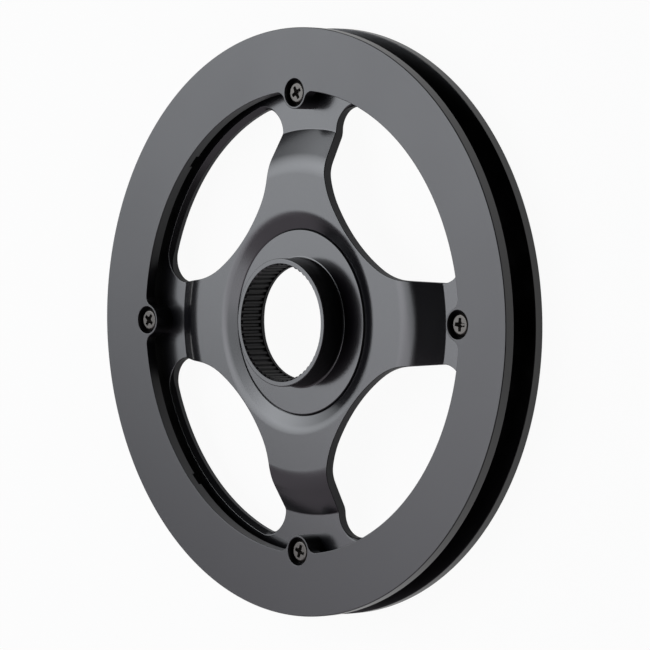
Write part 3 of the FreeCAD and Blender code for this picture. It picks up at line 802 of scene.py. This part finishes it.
def make_guard(name, node, material, bore, fillet, face, back, boss_end, side, fitted):
    """A guard ring: its face looks away from the chain, and its bosses stand on its back."""
    shell = Shell()
    tab = tab_edge(bore, fillet)
    arcs = bore_arcs(bore, tab, fitted == "sink")
    edge = joined(*arcs, tab.before, tab.tip, tab.after)

    def face_surface(place):
        return lifted(place, face), (0, 0, side)

    # Face, outer edge and the rounded rim of the bore
    outer_loop = places(circle(0, GUARD_RADIUS - GUARD_BAND, GUARD_STEPS))
    bore_edge = around(edge)
    loops = [outer_loop, inset(bore_edge, RIM)]
    sinks = []
    if fitted == "sink":
        sinks = turned_each(reversed_path(circle(SCREW_CIRCLE, SINK_RADIUS, SINK_STEPS)))
        loops += [inset(s, RIM) for s in sinks]
    shell.cap(loops, face_surface)
    flank = [
        (complex(GUARD_RADIUS - GUARD_BAND, face), 0),
        (complex(GUARD_RADIUS - GUARD_EDGE, face), GUARD_SOFT),
        (complex(GUARD_RADIUS, face - side * GUARD_EDGE), GUARD_SOFT),
        (complex(GUARD_RADIUS, back), SOFT),
        (complex(GUARD_RADIUS - GUARD_BAND, back), 0),
    ]
    shell.turned(path(flank[::-side]), [2 * math.pi * i / GUARD_STEPS for i in range(GUARD_STEPS)])
    shell.strip(rim_rows(bore_edge, face_surface, side, RIM))

    # Bore wall, notches, tabs and bosses
    below = face - side * RIM
    notch_roof = back + side * NOTCH_DEPTH
    detour = []
    if fitted == "sink":
        wall_each(shell, arcs[1], (below, notch_roof))
        ray = cmath.exp(1j * math.pi / ARMS)
        deep = INNER_BORE + NOTCH_REACH
        detour = path([
            (arcs[1][0].place, 0),
            (ray * complex(deep, NOTCH_WIDTH / 2), 0),
            (ray * complex(deep, -NOTCH_WIDTH / 2), 0),
            (arcs[1][-1].place, 0),
        ])
        wall_each(shell, detour, (notch_roof, back))
        roof = places(detour)[:-1] + places(arcs[1])[:0:-1]
        for i in range(ARMS):
            turn = cmath.exp(2j * math.pi * i / ARMS)
            shell.level([[p * turn for p in roof]], notch_roof, -side)
        wall_each(shell, arcs[2], (below, notch_roof, back))
    wall_each(shell, arcs[0], (below, notch_roof, back))
    wall_each(shell, tab.before, (below, notch_roof, back))
    wall_each(shell, tab.after, (below, notch_roof, back))
    wall_each(shell, tab.tip, (below, notch_roof, back, boss_end))
    wall_each(shell, tab.far, (back, boss_end))

    # Screw holes
    room = SHANK_ROOM if fitted == "sink" else THREAD_ROOM
    floor = HEAD_FLOOR if fitted == "sink" else HOLE_FLOOR
    holes = turned_each(reversed_path(circle(SCREW_CIRCLE, SHANK_RADIUS + room, SCREW_HOLE_STEPS)))
    bosses = turned_each(tab.tip[:-1] + tab.far[:-1])
    for i in range(ARMS):
        shell.level([places(bosses[i]), places(holes[i])], boss_end, -side)
        shell.wall(holes[i], (boss_end, floor))
        if fitted == "sink":
            shell.level([places(sinks[i]), places(holes[i])], floor, side)
            shell.strip(rim_rows(sinks[i], face_surface, side, RIM))
            shell.wall(sinks[i], (below, floor))
        else:
            shell.level([places(holes[i])], floor, -side)

    # Back, with the pockets that face the chain
    middle = arcs[0] if len(arcs) == 1 else joined(arcs[0], detour, arcs[2])
    back_edge = around(joined(middle, tab.before, tab.far[::-1], tab.after))
    back_loops = [outer_loop, places(back_edge)]
    if fitted == "pocket":
        end = GUARD_RADIUS - POCKET_INSET
        start = end - POCKET_LENGTH
        half = POCKET_WIDTH / 2
        corners = [complex(start, -half), complex(end, -half), complex(end, half), complex(start, half)]
        pocket = reversed_path(path([(c, POCKET_ROUND) for c in corners], closed=True))
        for spots in turned_each(pocket):
            back_loops.append(places(spots))
            shell.wall(spots, (back, back + side * POCKET_DEPTH))
            shell.level([places(spots)], back + side * POCKET_DEPTH, -side)
    shell.level(back_loops, back, -side)
    return shell.make(name, material, node)


# Guard screws

def cross_outline(scale):
    """The cross recess's edge, with the solid outside it."""
    arm = CROSS_SPAN / 2 * scale
    half = CROSS_WIDTH / 2 * scale
    end = CROSS_END / 2 * scale
    corners = []
    for index in range(CROSS_ARMS):
        turn = 1j ** index
        corners.append((complex(half, -half) * turn, CROSS_NOOK * scale))
        corners.append((complex(arm, -end) * turn, CROSS_ROUND * scale))
        corners.append((complex(arm, end) * turn, CROSS_ROUND * scale))
    return reversed_path(path(corners, closed=True))


def thread_rows():
    """The threaded shank, from under the head to its tip."""
    length = HEAD_FLOOR - SCREW_END
    count = math.ceil(length / THREAD_PITCH * THREAD_ROWS)
    rows = []
    for step in range(count + 1):
        z = HEAD_FLOOR - length * step / count
        fade = min(1, step / THREAD_ROWS, (count - step) / THREAD_ROWS)
        point = max(0, 1 - (count - step) / THREAD_ROWS)
        row = []
        for side in range(THREAD_SIDES):
            angle = 2 * math.pi * side / THREAD_SIDES
            phase = (z / THREAD_PITCH - side / THREAD_SIDES) % 1
            depth = THREAD_DEPTH * (1 - abs(2 * phase - 1)) * fade
            lean = (1 if phase < 0.5 else -1) * 2 * THREAD_DEPTH / THREAD_PITCH * fade
            ray = cmath.exp(1j * angle)
            radius = SHANK_RADIUS - depth - point * THREAD_POINT
            row.append((lifted(ray * radius, z), normalised(ray.real, ray.imag, lean)))
        rows.append(row)
    return rows


def make_screws(material):
    whole = Shell()
    for index, turn in enumerate(CROSS_TURNS):
        shell = Shell()
        angles = [2 * math.pi * i / THREAD_SIDES for i in range(THREAD_SIDES)]
        shell.turned(path([
            (complex(SHANK_RADIUS, HEAD_FLOOR), 0),
            (complex(HEAD_RADIUS, HEAD_FLOOR), SOFT),
            (complex(HEAD_RADIUS, HEAD_TOP - HEAD_BEVEL), HEAD_ROUND),
            (complex(HEAD_RADIUS - HEAD_BEVEL, HEAD_TOP), HEAD_ROUND),
            (complex(HEAD_FLAT, HEAD_TOP), 0),
        ]), angles)
        upper = turned_about(cross_outline(1), math.radians(turn))
        lower = turned_about(cross_outline(CROSS_TAPER), math.radians(turn))
        top = places(circle(0, HEAD_FLAT, THREAD_SIDES))
        shell.level([top, places(upper)], HEAD_TOP, 1)
        shell.strip([
            [(lifted(s.place, HEAD_TOP), (s.out.real, s.out.imag, CROSS_LEAN)) for s in upper],
            [(lifted(s.place, HEAD_TOP - CROSS_DEPTH), (s.out.real, s.out.imag, CROSS_LEAN)) for s in lower],
        ])
        shell.level([places(lower)], HEAD_TOP - CROSS_DEPTH, 1)
        rows = thread_rows()
        shell.strip(rows)
        end = [complex(point[0], point[1]) for point, _ in rows[-1]]
        shell.level([end], SCREW_END, -1)
        centre = SCREW_CIRCLE * 1j ** index
        whole.add(shell, lifted(centre, 0))
    return whole.make("guard_screw_set", material, "guard_screws")


# Finishes: a wall is upright where its normal rises less than the first limit, and not past the second

COAT_IOR = 1.58
PLASTIC_IOR = 1.53
UPRIGHT_RISE = 0.1
SLOPING_RISE = 0.4


def math_node(nodes, operation):
    node = nodes.new("ShaderNodeMath")
    node.operation = operation
    return node


def range_node(nodes, start, end, first, last):
    """Turns a value between start and end into one between first and last."""
    node = nodes.new("ShaderNodeMapRange")
    node.inputs["From Min"].default_value = start
    node.inputs["From Max"].default_value = end
    node.inputs["To Min"].default_value = first
    node.inputs["To Max"].default_value = last
    return node


def finish(name, base, other, roughness, metallic, patch, grain, relief, cut_edge=0, ior=COAT_IOR):
    """A procedural finish: its colour and roughness drift a little, and its surface has a fine grain.

    The patches of the drift, the grain and the grain's relief are in millimetres.
    Upright walls can be rougher, as the cut edges of a pressed plate are.
    """
    material = bpy.data.materials.new(name)
    material.use_nodes = True
    nodes = material.node_tree.nodes
    links = material.node_tree.links
    shader = nodes["Principled BSDF"]
    shader.inputs["Metallic"].default_value = metallic
    shader.inputs["IOR"].default_value = ior
    place = nodes.new("ShaderNodeTexCoord")
    drift = nodes.new("ShaderNodeTexNoise")
    drift.inputs["Scale"].default_value = 1 / (patch * MM)
    drift.inputs["Detail"].default_value = 3
    colour = nodes.new("ShaderNodeMix")
    colour.data_type = "RGBA"
    colour.inputs["A"].default_value = (*base, 1)
    colour.inputs["B"].default_value = (*other, 1)
    rough = range_node(nodes, 0, 1, *roughness)
    fine = nodes.new("ShaderNodeTexNoise")
    fine.inputs["Scale"].default_value = 1 / (grain * MM)
    fine.inputs["Detail"].default_value = 2
    bump = nodes.new("ShaderNodeBump")
    bump.inputs["Strength"].default_value = 1
    bump.inputs["Distance"].default_value = relief * MM
    links.new(place.outputs["Object"], drift.inputs["Vector"])
    links.new(place.outputs["Object"], fine.inputs["Vector"])
    links.new(drift.outputs["Fac"], colour.inputs["Factor"])
    links.new(drift.outputs["Fac"], rough.inputs["Value"])
    links.new(fine.outputs["Fac"], bump.inputs["Height"])
    links.new(colour.outputs["Result"], shader.inputs["Base Color"])
    facing = nodes.new("ShaderNodeNewGeometry")
    split = nodes.new("ShaderNodeSeparateXYZ")
    level = math_node(nodes, "ABSOLUTE")
    edge = range_node(nodes, UPRIGHT_RISE, SLOPING_RISE, cut_edge, 0)
    total = math_node(nodes, "ADD")
    links.new(facing.outputs["Normal"], split.inputs["Vector"])
    links.new(split.outputs["Z"], level.inputs[0])
    links.new(level.outputs["Value"], edge.inputs["Value"])
    links.new(rough.outputs["Result"], total.inputs[0])
    links.new(edge.outputs["Result"], total.inputs[1])
    links.new(total.outputs["Value"], shader.inputs["Roughness"])
    links.new(bump.outputs["Normal"], shader.inputs["Normal"])
    return material


coated = finish(
    "black_coat",
    base=(0.0014, 0.0014, 0.002),
    other=(0.003, 0.003, 0.004),
    roughness=(0.19, 0.25),
    metallic=0,
    patch=30,
    grain=1.2,
    relief=0.0012,
    cut_edge=0.2,
)
dark_steel = finish(
    "hub_black",
    base=(0.0014, 0.0012, 0.002),
    other=(0.003, 0.002, 0.003),
    roughness=(0.14, 0.20),
    metallic=0,
    patch=18,
    grain=0.8,
    relief=0.0012,
    cut_edge=0.3,
)
plastic = finish(
    "satin_plastic",
    base=(0.003, 0.003, 0.004),
    other=(0.005, 0.005, 0.006),
    roughness=(0.31, 0.38),
    metallic=0,
    patch=25,
    grain=0.5,
    relief=0.0012,
    ior=PLASTIC_IOR,
)
zinc = finish(
    "dark_zinc",
    base=(0.052, 0.049, 0.045),
    other=(0.083, 0.079, 0.073),
    roughness=(0.30, 0.44),
    metallic=1,
    patch=1.5,
    grain=0.4,
    relief=0.004,
)

make_chainring(coated)
make_hub(dark_steel)
make_guard(
    "inner_guard_ring",
    "inner_guard",
    plastic,
    bore=INNER_BORE,
    fillet=INNER_TAB_FILLET,
    face=inner_high.z,
    back=inner_high.z - INNER_THICK,
    boss_end=inner_low.z,
    side=1,
    fitted="sink",
)
make_guard(
    "outer_guard_ring",
    "outer_guard",
    plastic,
    bore=OUTER_BORE,
    fillet=OUTER_TAB_FILLET,
    face=outer_low.z,
    back=outer_low.z + OUTER_THICK,
    boss_end=outer_high.z,
    side=-1,
    fitted="pocket",
)
make_screws(zinc)

# Floor

FLOOR_SIDE = 12.0
FLOOR_HEIGHT = -0.0001
PAPER_GREY = 0.45
FLOOR_GLOW = 0.95
FLOOR_SHINE = 0.90
# Painted shade: under the part, reflections see the paper's glow lowered to this share, set by the distance
# from the axis, not by a real shadow.
FLOOR_PAINTED_SHADE = 0.30
PAINTED_SHADE_START = 0.088
PAINTED_SHADE_END = 0.078


def paper_finish():
    """White paper that glows to the camera and in reflections. In reflections its glow is lowered within the
    ring's radius, a painted shade that stands in for the ring's shadow on the paper.
    """
    paper = bpy.data.materials.new("white_paper")
    paper.use_nodes = True
    nodes = paper.node_tree.nodes
    links = paper.node_tree.links
    nodes.remove(nodes["Principled BSDF"])
    sheet = nodes.new("ShaderNodeBsdfDiffuse")
    sheet.inputs["Color"].default_value = (PAPER_GREY, PAPER_GREY, PAPER_GREY, 1)
    glow = nodes.new("ShaderNodeEmission")
    glow.inputs["Strength"].default_value = 1.0
    mix = nodes.new("ShaderNodeMixShader")
    ray = nodes.new("ShaderNodeLightPath")
    place = nodes.new("ShaderNodeTexCoord")
    from_axis = nodes.new("ShaderNodeVectorMath")
    from_axis.operation = "LENGTH"
    # Painted shade: the glow that reflections see falls from the outer level to the lower one inside the
    # ring's radius.
    painted_shade = range_node(nodes, PAINTED_SHADE_END, PAINTED_SHADE_START, FLOOR_PAINTED_SHADE, FLOOR_SHINE)
    shine = math_node(nodes, "MULTIPLY")
    either = math_node(nodes, "MAXIMUM")
    any_ray = math_node(nodes, "MAXIMUM")
    share = math_node(nodes, "MULTIPLY")
    share.inputs[1].default_value = FLOOR_GLOW
    links.new(place.outputs["Object"], from_axis.inputs[0])
    links.new(from_axis.outputs["Value"], painted_shade.inputs["Value"])
    links.new(ray.outputs["Is Glossy Ray"], shine.inputs[0])
    links.new(painted_shade.outputs["Result"], shine.inputs[1])
    links.new(ray.outputs["Is Camera Ray"], either.inputs[0])
    links.new(shine.outputs["Value"], either.inputs[1])
    links.new(either.outputs["Value"], any_ray.inputs[0])
    links.new(ray.outputs["Is Transmission Ray"], any_ray.inputs[1])
    links.new(any_ray.outputs["Value"], share.inputs[0])
    links.new(share.outputs["Value"], mix.inputs["Fac"])
    links.new(sheet.outputs["BSDF"], mix.inputs[1])
    links.new(glow.outputs["Emission"], mix.inputs[2])
    links.new(mix.outputs["Shader"], nodes["Material Output"].inputs["Surface"])
    return paper


def make_floor():
    """A sheet of paper a hair below the part, so that their faces never lie in one plane."""
    mesh = bpy.data.meshes.new("studio_floor")
    half = FLOOR_SIDE / 2
    corners = ((-half, -half), (half, -half), (half, half), (-half, half))
    mesh.from_pydata([(x, y, FLOOR_HEIGHT) for x, y in corners], [], [(0, 1, 2, 3)])
    floor_piece = bpy.data.objects.new("studio_floor", mesh)
    bpy.context.scene.collection.objects.link(floor_piece)
    mesh.materials.append(paper_finish())


make_floor()

# Sky

SKY_SEEN = 1.0
SKY_DIM = 0.03


def make_sky():
    """White to the camera, and the dim rest of a studio to everything else."""
    world = bpy.data.worlds.new("studio_sky")
    bpy.context.scene.world = world
    world.use_nodes = True
    nodes = world.node_tree.nodes
    links = world.node_tree.links
    ray = nodes.new("ShaderNodeLightPath")
    strength = range_node(nodes, 0, 1, SKY_DIM, SKY_SEEN)
    links.new(ray.outputs["Is Camera Ray"], strength.inputs["Value"])
    links.new(strength.outputs["Result"], nodes["Background"].inputs["Strength"])
    nodes["Background"].inputs["Color"].default_value = (1, 1, 1, 1)


make_sky()

# Lights: a softbox towards +Y and a faint pinkish card towards -Y, both over the side away from the camera

SOFTBOX_AIM = Vector((0.077, -0.213, 0.181))


def seen_from(turn, rise, away):
    """A place at a distance from the origin, turned from -X towards +Y and raised, both in degrees."""
    turn = math.radians(turn)
    rise = math.radians(rise)
    flat = math.cos(rise)
    return away * Vector((-flat * math.cos(turn), flat * math.sin(turn), math.sin(rise)))


def area_light(name, place, aim, size, power, colour, lean=0):
    """A lamp that faces its aim, turned about the line to it by its lean in degrees."""
    lamp = bpy.data.lights.new(name, "AREA")
    lamp.shape = "RECTANGLE"
    lamp.size = size[0]
    lamp.size_y = size[1]
    lamp.energy = power
    lamp.color = colour
    piece = bpy.data.objects.new(name, lamp)
    bpy.context.scene.collection.objects.link(piece)
    piece.location = place
    facing = (Vector(aim) - Vector(place)).to_track_quat("-Z", "Y")
    piece.rotation_euler = (facing @ Quaternion((0, 0, 1), math.radians(lean))).to_euler()
    return lamp


def fade_node(nodes, start, end, least):
    """A value that falls from 1 at the start to its least at the end."""
    return range_node(nodes, start, end, 1, least)


def hot_spot(lamp, place, full, end, least, low):
    """Fades a lamp round its brightest place, and once more towards its lower edge.

    The second fade is given by its start, its end and its least.
    """
    lamp.use_nodes = True
    nodes = lamp.node_tree.nodes
    links = lamp.node_tree.links
    spread = nodes.new("ShaderNodeTexCoord")
    away = nodes.new("ShaderNodeVectorMath")
    away.operation = "DISTANCE"
    away.inputs[1].default_value = (*place, 0)
    around = fade_node(nodes, full, end, least)
    split = nodes.new("ShaderNodeSeparateXYZ")
    below = fade_node(nodes, *low)
    both = math_node(nodes, "MULTIPLY")
    links.new(spread.outputs["Object"], away.inputs[0])
    links.new(away.outputs["Value"], around.inputs["Value"])
    links.new(spread.outputs["Object"], split.inputs["Vector"])
    links.new(split.outputs["Y"], below.inputs["Value"])
    links.new(around.outputs["Result"], both.inputs[0])
    links.new(below.outputs["Result"], both.inputs[1])
    links.new(both.outputs["Value"], nodes["Emission"].inputs["Strength"])


softbox = area_light(
    "softbox",
    place=seen_from(turn=30, rise=45, away=1.2) + SOFTBOX_AIM,
    aim=SOFTBOX_AIM,
    size=(1.0, 2.5),
    power=47,
    colour=(0.92, 0.95, 1.0),
    lean=-13,
)
hot_spot(softbox, place=(-0.37, -0.46), full=0.28, end=1.00, least=0.44, low=(-0.30, -1.00, 0.20))
side_card = area_light(
    "side_card",
    place=seen_from(turn=-55, rise=45, away=1.0),
    aim=(0, 0, 0),
    size=(1.3, 1.5),
    power=6.2,
    colour=(0.98, 0.89, 1.0),
)
hot_spot(side_card, place=(0, 0.7), full=2.0, end=3.0, least=1.0, low=(0.7, -0.7, 0.40))

# The camera stands where the photo was taken from: turns in degrees, then the part's place before it in mm

CAMERA_TURNS = (1.692, -47.07, 0.60)
CAMERA_PLACE = Vector((-8.565, 0.80, -1195.7))
FOCUS_PIXELS = 4090
PHOTO_PIXELS = 650
SENSOR = 36.0


def make_camera():
    camera = bpy.data.cameras.new("camera")
    camera.sensor_width = SENSOR
    camera.lens = SENSOR * FOCUS_PIXELS / PHOTO_PIXELS
    view = Matrix.Identity(3)
    for turn, axis in zip(CAMERA_TURNS, "XYZ"):
        view = view @ Matrix.Rotation(math.radians(turn), 3, axis)
    piece = bpy.data.objects.new("camera", camera)
    bpy.context.scene.collection.objects.link(piece)
    home = -(view.transposed() @ CAMERA_PLACE) * MM + Vector((0, 0, inner_high.z * MM))
    piece.matrix_world = Matrix.Translation(home) @ view.transposed().to_4x4()
    bpy.context.scene.camera = piece


make_camera()
bpy.context.scene.view_settings.view_transform = "Standard"
